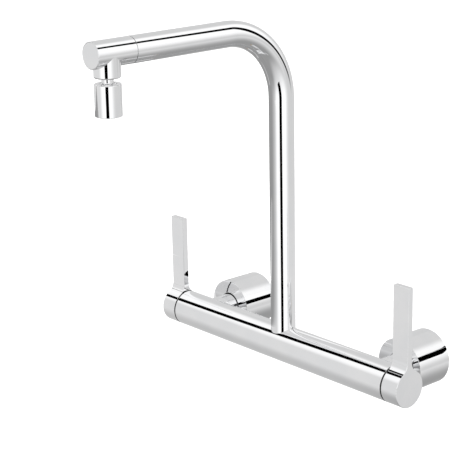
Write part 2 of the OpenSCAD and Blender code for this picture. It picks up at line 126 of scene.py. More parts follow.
# Wall fittings
ESCUTCHEON_R = top("escutcheon_right").z
ESCUTCHEON_FRONT = bottom("escutcheon_right").y
ESCUTCHEON_HOLE_R = TAIL_R + 0.0008
ESCUTCHEON_WALL = 0.0013
NUT_START = bottom("union_nut_right").y
NUT_END = top("union_nut_right").y
NUT_FLATS = 0.030
NUT_BORE_R = 0.0131
NUT_LIP = 0.0025
PIPE_R = MOUNTS["wall_thread_right"]["dims"]["r_mm"] / 1000
PIPE_Z = MOUNTS["wall_thread_right"]["pos_m"][2]
PIPE_BORE_R = 0.0065
PIPE_END = top("eccentric_right").y
COLLAR_R = 0.013
COLLAR_START = bottom("eccentric_right").y
COLLAR_END = COLLAR_START + 0.012
COLLAR_BORE_R = 0.0075
HEX_FLATS = 0.024
HEX_START = -0.010
HEX_END = -0.002
THREAD_PITCH = 0.001814
THREAD_DEPTH = 0.0011


# ---------------------------------------------------------------- surfaces

def unit(v):
    return v / np.linalg.norm(v)


def rounded(corners, closed=False, steps=5):
    """Profile of (radius, height, normal radius, normal height) rows. Each corner (radius,
    height, fillet) becomes an arc. The solid lies to the left of the way the corners run."""
    rows = []
    count = len(corners)
    for i, (r, h, fillet) in enumerate(corners):
        here = np.array((r, h))
        before = np.array(corners[i - 1][:2])
        after = np.array(corners[(i + 1) % count][:2])
        if not closed and i in (0, count - 1):
            run = unit(after - here) if i == 0 else unit(here - before)
            rows.append((r, h, run[1], -run[0]))
            continue
        come, go = unit(here - before), unit(after - here)
        turn = math.atan2(come[0] * go[1] - come[1] * go[0], come @ go)
        side = math.copysign(1, turn)
        left = np.array((-come[1], come[0]))
        centre = here - come * fillet * math.tan(abs(turn) / 2) + side * left * fillet
        for k in range(steps + 1):
            angle = math.atan2(come[1], come[0]) + turn * k / steps
            out = np.array((math.sin(angle), -math.cos(angle)))
            rows.append((*(centre + side * out * fillet), *out))
    return rows


def divided(rows, step, closed=False):
    """The same profile with its long straight runs cut into pieces no longer than step."""
    result = []
    pairs = list(zip(rows, rows[1:] + rows[:1]))
    for a, b in pairs if closed else pairs[:-1]:
        pieces = max(1, math.ceil(math.hypot(b[0] - a[0], b[1] - a[1]) / step))
        result += [tuple(np.array(a) + (np.array(b) - np.array(a)) * k / pieces) for k in range(pieces)]
    return result if closed else result + [rows[-1]]


def line(origin, axis):
    """Straight path: height -> (origin, two cross axes, axis)."""
    axis = Vector(axis)
    across = X if abs(axis.x) < 0.5 else Y
    return lambda height: (Vector(origin) + axis * height, across, axis.cross(across), axis)


def add_normals(mesh, normals):
    mesh.shade_smooth()
    mesh.normals_split_custom_set_from_vertices([tuple(n) for n in normals])
    return mesh


def net(rings, normals, closed, name="net"):
    """Closed mesh from rings of points; the ring order runs along the surface."""
    count = len(rings[0])
    faces = []
    for j in range(len(rings) if closed else len(rings) - 1):
        low, high = j * count, (j + 1) % len(rings) * count
        for i in range(count):
            k = (i + 1) % count
            faces.append((low + i, low + k, high + k, high + i))
    if not closed:
        faces.append(tuple(range(count))[::-1])
        faces.append(tuple((len(rings) - 1) * count + i for i in range(count)))
    mesh = bpy.data.meshes.new(name)
    mesh.from_pydata([p for ring in rings for p in ring], [], faces)
    return add_normals(mesh, [n for ring in normals for n in ring])


def skin(rows, path, closed=False, segments=96):
    """Turns a profile round a path, straight or bent, with the true normal at every point."""
    rings, normals = [], []
    for r, h, nr, nh in rows:
        origin, a, b, along = path(h)
        turns = [a * math.cos(t) + b * math.sin(t) for t in np.arange(segments) * math.tau / segments]
        rings.append([origin + t * r for t in turns])
        normals.append([(t * nr + along * nh).normalized() for t in turns])
    return net(rings, normals, closed)


def rod(path, r, start, end, fillet=0.00005, segments=96):
    """Plain round bar from start to end along a path."""
    corners = [(0, start, 0), (r, start, fillet), (r, end, fillet), (0, end, 0)]
    return skin(rounded(corners)[1:-1], path, segments=segments)


def prism(outline, start, end, start_fillet, end_fillet, place, steps=4):
    """Extrudes an outline of (u, v, normal u, normal v) with rounded edges. place(u, v, w) puts a
    point, or with direction=True a direction, in the part's frame."""
    rings, normals = [], []
    quarter = [math.pi / 2 * k / steps for k in range(steps + 1)]
    rows = []
    for a in quarter:
        inset = start_fillet * (1 - math.sin(a))
        rows.append((start + start_fillet * (1 - math.cos(a)), inset, -math.cos(a), math.sin(a)))
    for a in quarter[::-1]:
        inset = end_fillet * (1 - math.sin(a))
        rows.append((end - end_fillet * (1 - math.cos(a)), inset, math.cos(a), math.sin(a)))
    for w, inset, along, out in rows:
        rings.append([place(u - nu * inset, v - nv * inset, w) for u, v, nu, nv in outline])
        normals.append([place(nu * out, nv * out, along, True) for u, v, nu, nv in outline])
    return net(rings, normals, False)


def arc(u, v, radius, start, end, steps, hollow=False):
    """Points of an arc in degrees with their normals, which point inwards where it is hollow."""
    sign = -1 if hollow else 1
    angles = [math.radians(start + (end - start) * k / steps) for k in range(steps + 1)]
    return [(u + radius * math.cos(a), v + radius * math.sin(a), sign * math.cos(a), sign * math.sin(a))
            for a in angles]


def carve(mesh, joined=(), cutters=()):
    """Boolean of meshes. Every corner of the result keeps the normal of the surface it lies on."""
    work = bpy.data.objects.new("work", mesh)
    bpy.context.scene.collection.objects.link(work)
    tools = [work]
    for operation, others in (("UNION", joined), ("DIFFERENCE", cutters)):
        for other in others:
            tool = bpy.data.objects.new("tool", other)
            bpy.context.scene.collection.objects.link(tool)
            tools.append(tool)
            modifier = work.modifiers.new(operation, "BOOLEAN")
            modifier.operation, modifier.object, modifier.solver = operation, tool, "EXACT"
    bpy.context.view_layer.update()
    result = bpy.data.meshes.new_from_object(work.evaluated_get(bpy.context.evaluated_depsgraph_get()))
    sources = [(source, 1) for source in (mesh, *joined)] + [(source, -1) for source in cutters]
    keep_normals(result, sources)
    for tool in tools:
        bpy.data.objects.remove(tool)
    return result


def keep_normals(mesh, sources):
    """Gives each corner of mesh the normal of the nearest source surface that faces its way."""
    trees = []
    for source, sign in sources:
        points = [v.co.copy() for v in source.vertices]
        faces = [tuple(p.vertices) for p in source.polygons]
        corners = [Vector(c.vector) for c in source.corner_normals]
        starts = [p.loop_start for p in source.polygons]
        trees.append((BVHTree.FromPolygons(points, faces), points, faces, corners, starts, sign))
    normals = [None] * len(mesh.loops)
    for polygon in mesh.polygons:
        best = None
        for points_of in trees:
            place, facing, index, distance = points_of[0].find_nearest(polygon.center)
            miss = distance + (0 if facing.dot(polygon.normal) * points_of[5] > 0.9 else 1)
            if best is None or miss < best[0]:
                best = (miss, index, points_of)
        miss, index, (tree, points, faces, corners, starts, sign) = best
        for loop in polygon.loop_indices:
            spot = mesh.vertices[mesh.loops[loop].vertex_index].co
            weights = poly_3d_calc([points[v] for v in faces[index]], spot)
            blend = sum((corners[starts[index] + k] * w for k, w in enumerate(weights)), Vector())
            normals[loop] = blend.normalized() * sign if miss < 1 else polygon.normal.copy()
    mesh.shade_smooth()
    mesh.normals_split_custom_set(normals)


def joined_mesh(meshes):
    """One mesh from several shells that touch, each with its own normals."""
    points, faces, normals = [], [], []
    for mesh in meshes:
        base = len(points)
        points += [v.co.copy() for v in mesh.vertices]
        faces += [tuple(base + v for v in p.vertices) for p in mesh.polygons]
        normals += [Vector(c.vector) for c in mesh.corner_normals]
    result = bpy.data.meshes.new("joined")
    result.from_pydata(points, [], faces)
    result.shade_smooth()
    result.normals_split_custom_set(normals)
    return result


# ---------------------------------------------------------------- materials

class Paint:
    """A Principled material and short names for the nodes that vary it."""

    def __init__(self, name, **values):
        self.material = bpy.data.materials.new(name)
        self.material.use_nodes = True
        self.tree = self.material.node_tree
        self.shader = self.tree.nodes["Principled BSDF"]
        for key, value in values.items():
            self.shader.inputs[key.replace("_", " ").title().replace("Ior", "IOR")].default_value = value
        self.place = self.node("ShaderNodeTexCoord").outputs["Object"]

    def node(self, kind, **inputs):
        made = self.tree.nodes.new(kind)
        for key, value in inputs.items():
            socket = made.inputs[key.replace("_", " ")]
            if isinstance(value, bpy.types.NodeSocket):
                self.tree.links.new(value, socket)
            else:
                socket.default_value = value
        return made

    def noise(self, scale, detail=3.0, stretch=(1, 1, 1)):
        spread = self.node("ShaderNodeMapping", Vector=self.place, Scale=stretch)
        made = self.node("ShaderNodeTexNoise", Vector=spread.outputs["Vector"], Scale=scale, Detail=detail)
        return made.outputs["Fac"]

    def between(self, value, low, high, start=0.3, end=0.7):
        made = self.node("ShaderNodeMapRange", Value=value)
        made.interpolation_type = "SMOOTHSTEP"
        for key, limit in (("From Min", start), ("From Max", end), ("To Min", low), ("To Max", high)):
            made.inputs[key].default_value = limit
        return made.outputs["Result"]

    def mix(self, factor, first, second):
        made = self.tree.nodes.new("ShaderNodeMix")
        made.data_type = "RGBA"
        self.tree.links.new(factor, made.inputs["Factor"])
        for socket in made.inputs:
            if socket.type == "RGBA":
                socket.default_value = (*(first if socket.name == "A" else second), 1)
        return next(socket for socket in made.outputs if socket.type == "RGBA")

    def set(self, name, socket):
        self.tree.links.new(socket, self.shader.inputs[name])

    def bump(self, height, strength, distance):
        made = self.node("ShaderNodeBump", Height=height, Strength=strength, Distance=distance)
        self.set("Normal", made.outputs["Normal"])


def chrome_paint():
    """Polished plate: faint polishing marks in the gloss and an almost flat orange peel."""
    paint = Paint("chrome", metallic=1.0)
    haze = paint.noise(55.0)
    marks = paint.noise(900.0, 2.0, (1.0, 1.0, 0.08))
    paint.set("Base Color", paint.mix(paint.between(haze, 0, 1), (0.875, 0.88, 0.89), (0.905, 0.905, 0.91)))
    gloss = paint.node("ShaderNodeMath")
    gloss.operation = "ADD"
    paint.tree.links.new(paint.between(haze, 0.018, 0.034), gloss.inputs[0])
    paint.tree.links.new(paint.between(marks, 0.0, 0.012), gloss.inputs[1])
    paint.set("Roughness", gloss.outputs[0])
    paint.bump(haze, 0.02, 0.0002)
    return paint.material


def brass_paint():
    """Machined brass: fine turning lines, darker and duller where it has tarnished."""
    paint = Paint("brass", metallic=1.0)
    tarnish = paint.noise(120.0, 4.0)
    lines = paint.noise(2500.0, 2.0, (1.0, 1.0, 1.0))
    paint.set("Base Color", paint.mix(paint.between(tarnish, 0, 1), (0.72, 0.52, 0.24), (0.86, 0.68, 0.36)))
    paint.set("Roughness", paint.between(tarnish, 0.34, 0.20))
    paint.bump(lines, 0.25, 0.00003)
    return paint.material


def steel_paint():
    """Turned stainless steel with a fine directional grain."""
    paint = Paint("steel", metallic=1.0)
    grain = paint.noise(3000.0, 2.0, (1.0, 1.0, 0.05))
    stain = paint.noise(200.0)
    paint.set("Base Color", paint.mix(paint.between(stain, 0, 1), (0.56, 0.57, 0.59), (0.66, 0.67, 0.68)))
    paint.set("Roughness", paint.between(grain, 0.24, 0.38))
    paint.bump(grain, 0.2, 0.00002)
    return paint.material


def rubber_paint():
    """Black moulded rubber with a fine matt skin and greyer patches of bloom."""
    paint = Paint("rubber", specular_ior_level=0.25)
    bloom = paint.noise(260.0, 5.0)
    skin_grain = paint.noise(5200.0, 2.0)
    black, grey = (0.006, 0.006, 0.007), (0.020, 0.019, 0.018)
    paint.set("Base Color", paint.mix(paint.between(bloom, 0, 1), black, grey))
    paint.set("Roughness", paint.between(bloom, 0.55, 0.78))
    paint.bump(skin_grain, 0.35, 0.00002)
    return paint.material


def ceramic_paint():
    """Lapped alumina: nearly white, with a very slight cloudiness under the lapped face."""
    paint = Paint("ceramic", ior=1.76)
    cloud = paint.noise(420.0, 5.0)
    paint.set("Base Color", paint.mix(paint.between(cloud, 0, 1), (0.80, 0.79, 0.76), (0.90, 0.90, 0.88)))
    paint.set("Roughness", paint.between(cloud, 0.16, 0.26))
    paint.bump(paint.noise(6000.0, 2.0), 0.1, 0.00001)
    return paint.material


def plastic_paint():
    """Moulded acetal: milky, satin, with a fine spark-eroded grain."""
    paint = Paint("plastic", subsurface_weight=0.06)
    cloud = paint.noise(180.0, 3.0)
    grain = paint.noise(7000.0, 2.0)
    paint.set("Base Color", paint.mix(paint.between(cloud, 0, 1), (0.66, 0.66, 0.64), (0.76, 0.76, 0.73)))
    paint.set("Roughness", paint.between(grain, 0.36, 0.50))
    paint.bump(grain, 0.3, 0.00001)
    return paint.material


PAINTS = {
    "chrome": chrome_paint(), "brass": brass_paint(), "steel": steel_paint(),
    "rubber": rubber_paint(), "ceramic": ceramic_paint(), "plastic": plastic_paint(),
}


def paint_cad_nodes():
    for subpart in frame["record"]["subparts"]:
        mesh = frame["nodes"][subpart["node"]].data
        mesh.materials.clear()
        mesh.materials.append(PAINTS[subpart["material_slot"]])


def piece(name, mesh, body, node, slot):
    """Shows a mesh as a piece of the object in place of a CAD node."""
    made = bpy.data.objects.new(name, mesh)
    mesh.materials.clear()
    mesh.materials.append(PAINTS[slot])
    bpy.context.scene.collection.objects.link(made)
    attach(made, body)
    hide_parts(node)
    return made


# ---------------------------------------------------------------- body

def make_body():
    along = line(AXIS, X)
    blank = skin(rounded([(0, -SEAM_START, 0), (BODY_R, -SEAM_START, 0.00015),
                          (BODY_R, SEAM_START, 0.00015), (0, SEAM_START, 0)])[1:-1], along, segments=192)
    cutters = [rod(line(AXIS, Z), TUBE_R + 0.00005, -0.0092, 2 * BODY_R, segments=128)]
    tails = []
    for side in SIDES.values():
        towards_wall = line(AXIS + X * side * INLET_X, Y)
        tail_length = TAIL_END - AXIS.y
        groove_low, groove_high = (g - AXIS.y for g in CLIP_GROOVE)
        tails.append(skin(rounded([
            (0, 0, 0), (TAIL_R, 0, 0.00005), (TAIL_R, groove_low, 0.0001),
            (TAIL_R - 0.001, groove_low, 0.0001), (TAIL_R - 0.001, groove_high, 0.0001),
            (TAIL_R, groove_high, 0.0001), (TAIL_R, tail_length, 0.0003), (0, tail_length, 0)])[1:-1],
            towards_wall, segments=128))
        cutters.append(rod(towards_wall, TAIL_BORE_R, 0, 2 * tail_length))
        cutters.append(rod(line(AXIS, X * side), BORE_R, BODY_END - BORE_DEPTH, 2 * BODY_END))
    return carve(blank, tails, cutters)


def make_seam_ring(side):
    """Black glide ring that all but fills the seam between the body and a handle cap."""
    end, outer = SEAM_END - 0.00005, BODY_R - 0.00015
    rows = rounded([(SEAM_RING_BORE_R, SEAM_START, 0.0001), (outer, SEAM_START, 0.0001),
                    (outer, end, 0.0002), (SEAM_RING_BORE_R, end, 0.0001)], closed=True)
    return skin(rows, line(AXIS, X * side), closed=True, segments=192)


# ---------------------------------------------------------------- handles

def handle_outline():
    reach = BLADE_HALF + BLEND_R
    blend_z = math.sqrt((BODY_R + BLEND_R) ** 2 - reach ** 2)
    meet = math.degrees(math.atan2(blend_z, reach))
    tip = 0.0006
    outline = arc(0, 0, BODY_R, 180 - meet, 360 + meet, 110)
    outline += arc(reach, blend_z, BLEND_R, 180 + meet, 180, 18, hollow=True)
    outline += arc(BLADE_HALF - tip, LEVER_TOP - tip, tip, 0, 90, 5)
    outline += arc(tip - BLADE_HALF, LEVER_TOP - tip, tip, 90, 180, 5)
    outline += arc(-reach, blend_z, BLEND_R, 0, -meet, 18, hollow=True)
    return [p for k, p in enumerate(outline) if math.dist(p[:2], outline[k - 1][:2]) > 1e-7]


def make_handle(side):
    def place(u, v, w, direction=False):
        spot = Vector((w * side, u, v))
        return spot if direction else spot + Vector((0, AXIS.y, AXIS.z))

    outline = handle_outline()
    if side < 0:
        outline = outline[::-1]
    blank = prism(outline, SEAM_END, CAP_END, 0.00015, 0.00045, place)
    hollow = rod(line(AXIS, X * side), CAP_HOLLOW_R, 0, CAP_START + CAP_HOLLOW_DEPTH, 0.0003, 128)
    grub_hole = rod(line(AXIS + X * side * GRUB_X, -Z), GRUB_R, 0, 2 * BODY_R, segments=48)
    return carve(blank, (), [hollow, grub_hole])


# ---------------------------------------------------------------- spout

def spout_path(height):
    """Up the riser, round the bend and along the arm; height is measured along the centreline."""
    rise = ARM_Z - BEND_R
    turn = min(max((height - rise) / BEND_R, 0), math.pi / 2)
    along = Vector((0, -math.sin(turn), math.cos(turn)))
    centre = Vector((AXIS.x, AXIS.y - BEND_R, rise))
    origin = centre + BEND_R * Vector((0, math.cos(turn), math.sin(turn)))
    past = height - rise - BEND_R * turn
    return origin + along * past, X, along.cross(X), along


def make_spout_tube():
    end = ARM_Z - BEND_R + BEND_R * math.pi / 2 + (AXIS.y - BEND_R - HEAD_SEAM) - HEAD_GAP
    rows = rounded([(TUBE_BORE_R, TUBE_START, 0.0002), (TUBE_R, TUBE_START, 0.0002),
                    (TUBE_R, end, 0.0001), (TUBE_BORE_R, end, 0.0001)], closed=True, steps=4)
    tube = skin(divided(rows, 0.0025, closed=True), spout_path, closed=True, segments=128)
    screw_hole = rod(line((0, SCREW.y, ARM_Z), -Z), 0.0015, 0.004, 2 * TUBE_R, segments=32)
    return carve(tube, (), [screw_hole])


def make_spout_head():
    arm = line((0, 0, ARM_Z), -Y)
    seam, end = -HEAD_SEAM, -HEAD_END
    barrel = skin(rounded([
        (HEAD_BORE_R, -SPIGOT_END, 0.0003), (SPIGOT_R, -SPIGOT_END, 0.0004), (SPIGOT_R, seam, 0.00005),
        (HEAD_R, seam, 0.0001), (HEAD_R, end, 0.0003), (HEAD_CAP_R + 0.00003, end, 0.00012),
        (HEAD_CAP_R + 0.00003, end - HEAD_CAP_DEPTH, 0.00005), (HEAD_BORE_R, end - HEAD_CAP_DEPTH, 0.0001)],
        closed=True, steps=4), arm, closed=True, segments=128)
    neck = skin(rounded([(0, NECK.z, 0), (NECK_R, NECK.z, 0.0013), (NECK_R, ARM_Z, 0.00005),
                         (0, ARM_Z, 0)], steps=7)[1:-1], line((0, NECK.y, 0), Z), segments=128)
    bore = rod(line((0, NECK.y, 0), Z), 0.005, NECK.z - 0.005, ARM_Z)
    waterway = rod(arm, HEAD_BORE_R, -SPIGOT_END - 0.001, end - HEAD_CAP_DEPTH + 0.0001, segments=128)
    screw_hole = rod(line((0, SCREW.y, ARM_Z), -Z), 0.0015, 0.004, 2 * TUBE_R, segments=32)
    return carve(barrel, [neck], [waterway, bore, screw_hole])


def make_head_cap():
    end = -HEAD_END
    return skin(rounded([(0, end - 0.004, 0), (HEAD_BORE_R - 0.00003, end - 0.004, 0.0002),
                         (HEAD_BORE_R - 0.00003, end - HEAD_CAP_DEPTH, 0.0001),
                         (HEAD_CAP_R, end - HEAD_CAP_DEPTH, 0.0001), (HEAD_CAP_R, end, 0.00015),
                         (0, end, 0)])[1:-1], line((0, 0, ARM_Z), -Y), segments=128)


# ---------------------------------------------------------------- ball and aerator

def make_ball_stud():
    neck_up = line((0, NECK.y, 0), Z)
    meet = math.degrees(math.acos(STEM_R / BALL_R))
    open_angle = math.degrees(math.acos(STUD_BORE_R / BALL_R))
    ball = arc(0, BALL.z, BALL_R, -open_angle, meet, 40)
    rows = [(STUD_BORE_R, STUD_TOP, -1, 0), (STUD_BORE_R, ball[0][1], -1, 0)] + ball
    rows += rounded([(STEM_R, ball[-1][1], 0), (STEM_R, NECK.z - 0.00001, 0.00005),
                     (STUD_R, NECK.z, 0.00005), (STUD_R, STUD_TOP, 0.0003), (STUD_BORE_R, STUD_TOP, 0)])
    return skin(rows, neck_up, closed=True)


def make_aerator_housing():
    """Cup with a rounded rim, a flared mouth above the ball and a stepped bore below it."""
    lip_z = BALL.z + 0.0024
    rows = rounded([
        (CAVITY_R, AERATOR_LOW, 0.0003), (AERATOR_R, AERATOR_LOW, 0.0005), (AERATOR_R, AERATOR_TOP, 0.0006),
        (LIP_R, AERATOR_TOP, 0.0004), (BALL_R - 0.00035, lip_z, 0.0001), (BALL_R + 0.00005, BALL.z, 0.0005),
        (BALL_R + 0.00005, SEAT_TOP, 0.0001), (CAVITY_R, SEAT_TOP, 0.0001)], closed=True, steps=7)
    return skin(rows, line((0, NECK.y, 0), Z), closed=True, segments=128)


def make_aerator_mesh():
    """Woven wire gauze: round wires both ways, each passing over and under the next."""
    low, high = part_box("aerator_mesh")
    wire = 0.25 * (high.z - low.z)
    pitch, radius = 0.0009, CAVITY_R - 0.0004
    middle = Vector((0, NECK.y, 0.5 * (low.z + high.z)))
    shells = []
    for along, across in ((X, Y), (Y, X)):
        for k in range(-9, 10):
            offset = k * pitch
            half = math.sqrt(max(radius ** 2 - offset ** 2, 0))
            phase = k + (0 if along == X else 1)

            def weave(height, offset=offset, phase=phase, along=along, across=across):
                lift = wire * math.cos(math.pi * (height / pitch + phase))
                origin = middle + along * height + across * offset + Z * lift
                return origin, across, along.cross(across), along

            ends = [(0, -half, 0), (wire, -half, wire / 2), (wire, half, wire / 2), (0, half, 0)]
            profile = rounded(ends, steps=1)[1:-1]
            shells.append(skin(divided(profile, pitch / 3), weave, segments=6))
    return joined_mesh(shells)


# ---------------------------------------------------------------- wall fittings

def make_escutcheon(side):
    rows = rounded([
        (ESCUTCHEON_HOLE_R, ESCUTCHEON_FRONT, 0.0003), (ESCUTCHEON_R, ESCUTCHEON_FRONT, 0.0004),
        (ESCUTCHEON_R, 0, 0.0002), (ESCUTCHEON_R - ESCUTCHEON_WALL, 0, 0.0002),
        (ESCUTCHEON_R - ESCUTCHEON_WALL, ESCUTCHEON_FRONT + ESCUTCHEON_WALL, 0.0008),
        (ESCUTCHEON_HOLE_R, ESCUTCHEON_FRONT + ESCUTCHEON_WALL, 0.0003)], closed=True)
    return skin(rows, line((side * INLET_X, 0, 0), Y), closed=True, segments=192)


def hexagon(origin, flats, start, end):
    """Hexagon bar along +Y and the round blank that turns its corners off at both ends."""
    flat = flats / 2
    corner = flat / math.cos(math.pi / 6)
    turns = [math.radians(a) for a in range(360, 0, -60)]
    rings = [[Vector(origin) + Vector((corner * math.cos(t), w, corner * math.sin(t))) for t in turns]
             for w in (start, end)]
    bar = net(rings, [[Y] * 6] * 2, False)
    bar.normals_split_custom_set([tuple(p.normal) for p in bar.polygons for _ in p.vertices])
    taper = 0.6 * (corner - flat)
    turned = skin(rounded([(flat - 0.0004, start, 0), (corner + 0.0002, start + taper, 0.0001),
                           (corner + 0.0002, end - taper, 0.0001), (flat - 0.0004, end, 0)]),
                  line(origin, Y), segments=192)
    return bar, turned


def thread(origin, r, start, end, bore):
    """Pipe along +Y with a rolled screw thread on its outside that fades out at both ends."""
    segments, per_turn = 96, 12
    turns = [i / segments for i in range(segments)]
    outward = [Vector((math.cos(turn * math.tau), 0, -math.sin(turn * math.tau))) for turn in turns]
    count = int((end - start) / THREAD_PITCH * per_turn)

    def ring(y, radii):
        return [Vector(origin) + Y * y + out * radius for out, radius in zip(outward, radii)]

    rings = []
    for j in range(count + 1):
        y = start + (end - start) * j / count
        fade = min(1, (end - y) / (1.2 * THREAD_PITCH), (y - start) / (0.6 * THREAD_PITCH) + 0.2)
        radii = []
        for turn in turns:
            wave = abs(((y - start) / THREAD_PITCH - turn) % 1 * 2 - 1)
            groove = min(max(1.35 * wave - 0.17, 0), 1)
            radii.append(r - THREAD_DEPTH * (1 - fade + groove * fade))
        rings.append(ring(y, radii))
    rings += [ring(y, [bore] * segments) for y in (end, start)]
    mesh = net(rings, [[Z] * segments] * len(rings), True)
    mesh.attributes.remove(mesh.attributes["custom_normal"])
    mesh.set_sharp_from_angle(angle=math.radians(40))
    return mesh


def make_union_nut(side):
    origin = (side * INLET_X, 0, 0)
    blank, turned = hexagon(origin, NUT_FLATS, NUT_START, NUT_END)
    towards_wall = line(origin, Y)
    cutters = [rod(towards_wall, TAIL_R + 0.0001, NUT_START - 0.01, NUT_END, segments=128),
               rod(towards_wall, NUT_BORE_R, NUT_START + NUT_LIP, NUT_END + 0.01, segments=128)]
    return carve(intersect(blank, turned), (), cutters)


def intersect(first, second):
    """The common part of two meshes, with the normals of the surfaces that bound it."""
    work, tool = (bpy.data.objects.new(n, m) for n, m in (("work", first), ("tool", second)))
    for made in (work, tool):
        bpy.context.scene.collection.objects.link(made)
    modifier = work.modifiers.new("common", "BOOLEAN")
    modifier.operation, modifier.object, modifier.solver = "INTERSECT", tool, "EXACT"
    bpy.context.view_layer.update()
    result = bpy.data.meshes.new_from_object(work.evaluated_get(bpy.context.evaluated_depsgraph_get()))
    keep_normals(result, [(first, 1), (second, 1)])
    for made in (work, tool):
        bpy.data.objects.remove(made)
    return result


def make_eccentric(side):
    collar_at = (side * INLET_X, 0, 0)
    pipe_at = (side * INLET_X, 0, PIPE_Z)
    collar = thread(collar_at, COLLAR_R, COLLAR_START, COLLAR_END, COLLAR_BORE_R)
    blank, turned = hexagon(pipe_at, HEX_FLATS, HEX_START, HEX_END)
    bore = rod(line(pipe_at, Y), PIPE_BORE_R, HEX_START - 0.01, PIPE_END)
    nut = carve(intersect(blank, turned), (), [bore])
    pipe = thread(pipe_at, PIPE_R, HEX_END - 0.0005, PIPE_END, PIPE_BORE_R)
    return joined_mesh([collar, nut, pipe])


# ---------------------------------------------------------------- the pieces

def make_pieces():
    piece("body_casting", make_body(), "fixed_body", "body", "chrome")
    piece("spout_bent_tube", make_spout_tube(), "spout", "spout_tube", "chrome")
    piece("spout_head_barrel", make_spout_head(), "spout", "spout_head", "chrome")
    piece("spout_end_cap", make_head_cap(), "spout", "head_cap", "chrome")
    piece("aerator_ball", make_ball_stud(), "ball", "ball_stud", "chrome")
    piece("aerator_cup", make_aerator_housing(), "aerator", "aerator_housing", "chrome")
    piece("aerator_gauze", make_aerator_mesh(), "aerator", "aerator_mesh", "steel")
    for name, side in SIDES.items():
        piece(f"lever_{name}_cap", make_handle(side), f"lever_{name}", f"handle_{name}", "chrome")
        piece(f"glide_ring_{name}", make_seam_ring(side), "fixed_body", f"seam_ring_{name}", "rubber")
        piece(f"wall_flange_{name}", make_escutcheon(side), "fixed_body", f"escutcheon_{name}", "chrome")
        piece(f"swivel_nut_{name}", make_union_nut(side), "fixed_body", f"union_nut_{name}", "chrome")
        piece(f"offset_union_{name}", make_eccentric(side), "fixed_body", f"eccentric_{name}", "brass")


# ---------------------------------------------------------------- studio

FLOOR_Z = -0.30


class Nodes:
    """Short names for the nodes that shape the light of the studio."""

    def __init__(self, tree):
        self.tree = tree

    def math(self, operation, *values):
        made = self.tree.nodes.new("ShaderNodeMath")
        made.operation = operation
        for socket, value in zip(made.inputs, values):
            if isinstance(value, bpy.types.NodeSocket):
                self.tree.links.new(value, socket)
            else:
                socket.default_value = value
        return made.outputs[0]

    def total(self, *values):
        result = values[0]
        for value in values[1:]:
            result = self.math("ADD", result, value)
        return result

    def product(self, *values):
        result = values[0]
        for value in values[1:]:
            result = self.math("MULTIPLY", result, value)
        return result

    def ramp(self, value, start, end, low=0, high=1):
        """Goes smoothly from low to high as value goes from start to end."""
        made = self.tree.nodes.new("ShaderNodeMapRange")
        made.interpolation_type = "SMOOTHSTEP"
        self.tree.links.new(value, made.inputs["Value"])
        for key, limit in (("From Min", start), ("From Max", end), ("To Min", low), ("To Max", high)):
            made.inputs[key].default_value = limit
        return made.outputs["Result"]

    def axes(self, output):
        """The X, Y and Z of a texture coordinate."""
        coordinates = self.tree.nodes.new("ShaderNodeTexCoord")
        split = self.tree.nodes.new("ShaderNodeSeparateXYZ")
        self.tree.links.new(coordinates.outputs[output], split.inputs[0])
        return tuple(split.outputs)

    def bearing(self, x, y):
        """Degrees round the vertical: 0 towards -Y and 90 towards +X."""
        return self.math("DEGREES", self.math("ARCTAN2", x, self.math("MULTIPLY", y, -1)))

    def near(self, angle, middle, half, edge):
        """1 where angle is within half of middle, fading to 0 over edge."""
        off = self.math("ABSOLUTE", self.math("SUBTRACT", angle, middle))
        return self.ramp(off, half + edge / 2, half - edge / 2)


def make_world():
    """Pale surroundings with three bright areas. The two overhead ones are each split by a dark gap."""
    world = bpy.data.worlds.new("studio")
    bpy.context.scene.world = world
    world.use_nodes = True
    nodes = Nodes(world.node_tree)
    x, y, z = nodes.axes("Generated")

    def towards(*direction):
        parts = [nodes.math("MULTIPLY", axis, amount)
                 for axis, amount in zip((x, y, z), Vector(direction).normalized())]
        return nodes.total(*parts)

    below = nodes.ramp(z, -0.25, -0.78)
    left = nodes.ramp(x, -0.58, -0.66)
    falling = nodes.math("SUBTRACT", 0.39, nodes.math("MULTIPLY", left, 0.19))
    behind = nodes.product(nodes.ramp(y, 0.2, 0.5, 0, 0.07), nodes.ramp(z, -0.32, -0.24))
    plain = nodes.math("SUBTRACT", 0.69, nodes.total(nodes.product(below, falling), behind))
    front_box = nodes.ramp(towards(0.68, -0.72, -0.15), 0.47, 0.857, 0, 0.34)
    top_box = nodes.ramp(towards(-0.69, -0.19, 0.70), 0.829, 0.970, 0, 0.28)
    back_box = nodes.product(nodes.ramp(towards(0.46, 0.64, 0.61), 0.64, 0.93, 0, 0.38),
                             nodes.ramp(x, -0.25, 0.05))
    light = nodes.total(plain, front_box, top_box, back_box)

    along_body = nodes.math("DEGREES", nodes.math("ARCTAN2", nodes.math("MULTIPLY", y, -1), z))
    slanted = nodes.ramp(x, -0.60, -0.76, 5.0, 31.6)
    top_gap = nodes.product(nodes.near(along_body, slanted, 10.0, 1.2), nodes.ramp(x, -0.3, -0.45))
    back_gap = nodes.product(nodes.near(nodes.bearing(x, y), 147.5, 6.5, 1.4), nodes.ramp(z, -0.20, -0.10))
    dark = nodes.math("MAXIMUM", top_gap, back_gap)
    light = nodes.product(light, nodes.math("SUBTRACT", 1.0, dark), 1.13)

    seen = world.node_tree.nodes.new("ShaderNodeLightPath").outputs["Is Camera Ray"]
    shown = nodes.total(seen, nodes.math("MULTIPLY", light, nodes.math("SUBTRACT", 1.0, seen)))
    world.node_tree.links.new(shown, world.node_tree.nodes["Background"].inputs["Color"])


def stage_mesh(name, corners, material):
    mesh = bpy.data.meshes.new(name)
    mesh.from_pydata([Vector(c) for c in corners], [], [(0, 1, 2, 3)])
    mesh.materials.append(material)
    made = bpy.data.objects.new(name, mesh)
    bpy.context.scene.collection.objects.link(made)
    return made


